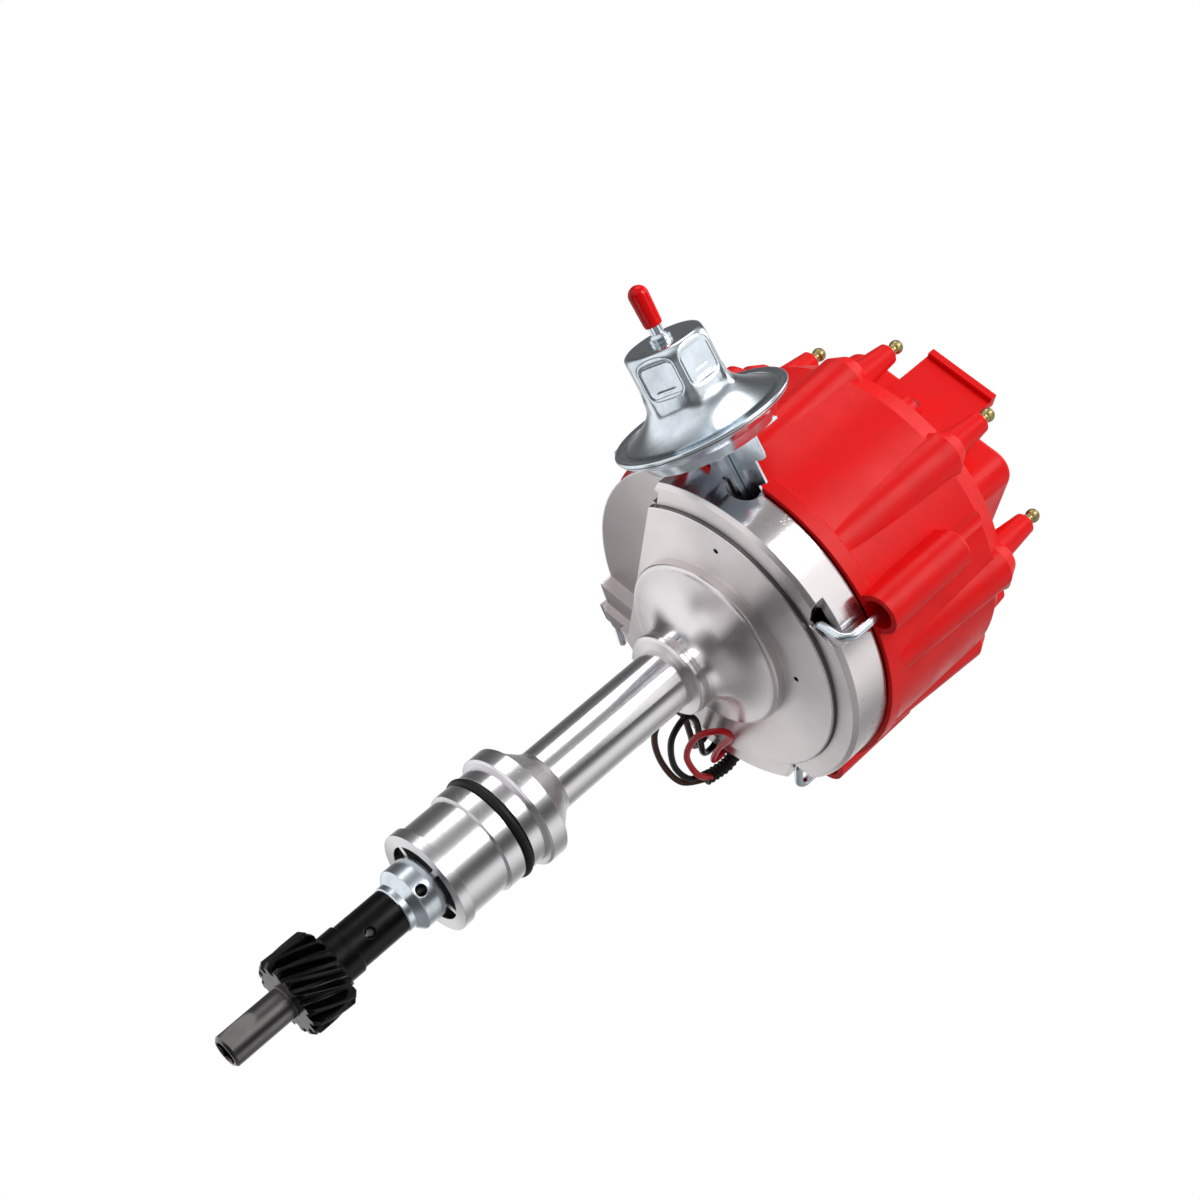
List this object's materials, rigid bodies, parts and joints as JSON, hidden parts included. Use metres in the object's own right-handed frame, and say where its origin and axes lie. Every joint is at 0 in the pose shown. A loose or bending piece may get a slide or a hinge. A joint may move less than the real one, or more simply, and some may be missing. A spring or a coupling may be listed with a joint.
{
  "type": "ignition distributor",
  "caption": "Electronic ignition distributor: gear-driven shaft in a turned housing, vacuum canister, red cap with plug towers and a coil under a cover.",
  "frame": {"origin": "on the shaft's axis, in the plane of the housing's shoulder collar that rests on the engine block", "axes": "+Z along the shaft from the gear to the cap, +X along the vacuum canister's axis, away from the shaft"},
  "size_m": [0.2121, 0.158, 0.3648],
  "materials": {
    "turned_aluminium": "fine turned aluminium",
    "zinc_steel": "bright zinc plate",
    "tinned_can": "satin tin plate",
    "ground_steel": "ground steel, light oil",
    "black_iron": "black phosphate",
    "plain_steel": "satin steel",
    "spring_steel": "drawn wire",
    "bronze": "sintered bronze",
    "brass": "plain brass",
    "red_plastic": "satin moulded, slightly textured",
    "rotor_plastic": "satin moulded",
    "red_rubber": "glossy rubber",
    "black_rubber": "matt rubber",
    "black_plastic": "satin moulded",
    "black_screw": "black oxide",
    "carbon": "matt carbon",
    "magnet": "bonded ferrite",
    "lamination": "varnished steel sheets",
    "winding": "cast resin",
    "wire_red": "smooth insulation",
    "wire_black": "smooth insulation",
    "wire_brown": "smooth insulation"
  },
  "bodies": {
    "housing": {"housing": "turned_aluminium", "upper_bushing": "bronze", "lower_bushing": "bronze", "o_ring": "black_rubber", "ignition_module": "black_plastic", "bowl_screws": "zinc_steel", "capacitor": "tinned_can", "wire_grommet": "black_rubber", "wire_red": "wire_red", "wire_black": "wire_black", "wire_brown": "wire_brown", "harness_sleeve": "black_rubber", "harness_plug": "black_plastic", "canister_shell": "zinc_steel", "canister_back": "zinc_steel", "canister_bracket": "zinc_steel", "vacuum_nipple": "zinc_steel", "nipple_cap": "red_rubber", "vacuum_diaphragm": "black_rubber", "vacuum_spring": "spring_steel", "pickup_clip": "plain_steel", "distributor_cap": "red_plastic", "plug_terminals": "brass", "carbon_button": "carbon", "button_spring": "spring_steel", "coil_seal": "black_rubber", "coil_core": "lamination", "coil_winding": "winding", "coil_screws": "plain_steel", "coil_terminals": "brass", "coil_cover": "red_plastic", "cover_screws": "black_screw", "latch_springs": "spring_steel"},
    "shaft": {"drive_shaft": "ground_steel", "drive_gear": "black_iron", "gear_pin": "ground_steel", "thrust_collar": "zinc_steel", "collar_pin": "ground_steel", "thrust_washer": "plain_steel", "centre_cam": "plain_steel"},
    "timer": {"timer_core": "plain_steel", "weight_plate": "plain_steel", "advance_springs": "spring_steel", "rotor": "rotor_plastic", "rotor_contact": "brass", "rotor_screws": "plain_steel"},
    "weight_1": {"advance_weight_1": "plain_steel"},
    "weight_2": {"advance_weight_2": "plain_steel"},
    "vacuum_rod": {"vacuum_rod": "zinc_steel"},
    "pickup": {"pickup_plate": "plain_steel", "pickup_magnet": "magnet", "pickup_coil": "black_plastic", "pole_piece": "plain_steel"},
    "latch_1": {"latch_1": "zinc_steel"},
    "latch_2": {"latch_2": "zinc_steel"},
    "latch_3": {"latch_3": "zinc_steel"},
    "latch_4": {"latch_4": "zinc_steel"}
  },
  "joints": [
    {"name": "shaft_spin", "type": "hinge", "parent": "housing", "child": "shaft", "pos_m": [0, 0, 0], "axis": [0, 0, 1], "continuous": true},
    {"name": "centrifugal_advance", "type": "hinge", "parent": "shaft", "child": "timer", "pos_m": [0, 0, 0.14], "axis": [0, 0, 1], "range_deg": [0, 12], "deforming": ["advance_springs"]},
    {"name": "weight_1_swing", "type": "hinge", "parent": "timer", "child": "weight_1", "pos_m": [0.022, -0.014, 0.1437], "axis": [0, 0, 1], "range_deg": [-22, 0]},
    {"name": "weight_2_swing", "type": "hinge", "parent": "timer", "child": "weight_2", "pos_m": [-0.022, 0.014, 0.1437], "axis": [0, 0, 1], "range_deg": [-22, 0]},
    {"name": "vacuum_pull", "type": "slide", "parent": "housing", "child": "vacuum_rod", "axis": [1, 0, 0], "range_m": [0, 0.005], "deforming": ["vacuum_diaphragm", "vacuum_spring"]},
    {"name": "pickup_turn", "type": "hinge", "parent": "housing", "child": "pickup", "pos_m": [0, 0, 0.118], "axis": [0, 0, 1], "range_deg": [-8.4, 0]},
    {"name": "latch_1_turn", "type": "hinge", "parent": "housing", "child": "latch_1", "pos_m": [0.07099, 0.00124, 0.14], "axis": [0, 0, 1], "range_deg": [-76, 0]},
    {"name": "latch_2_turn", "type": "hinge", "parent": "housing", "child": "latch_2", "pos_m": [-0.00124, 0.07099, 0.14], "axis": [0, 0, 1], "range_deg": [0, 90]},
    {"name": "latch_3_turn", "type": "hinge", "parent": "housing", "child": "latch_3", "pos_m": [-0.07099, -0.00124, 0.14], "axis": [0, 0, 1], "range_deg": [0, 90]},
    {"name": "latch_4_turn", "type": "hinge", "parent": "housing", "child": "latch_4", "pos_m": [0.00124, -0.07099, 0.14], "axis": [0, 0, 1], "range_deg": [0, 90]}
  ],
  "couplings": [
    {"joint": "weight_1_swing", "follows": "centrifugal_advance", "ratio": -1.8333},
    {"joint": "weight_2_swing", "follows": "centrifugal_advance", "ratio": -1.8333},
    {"joint": "pickup_turn", "follows": "vacuum_pull", "rad_per_m": -29.32}
  ]
}
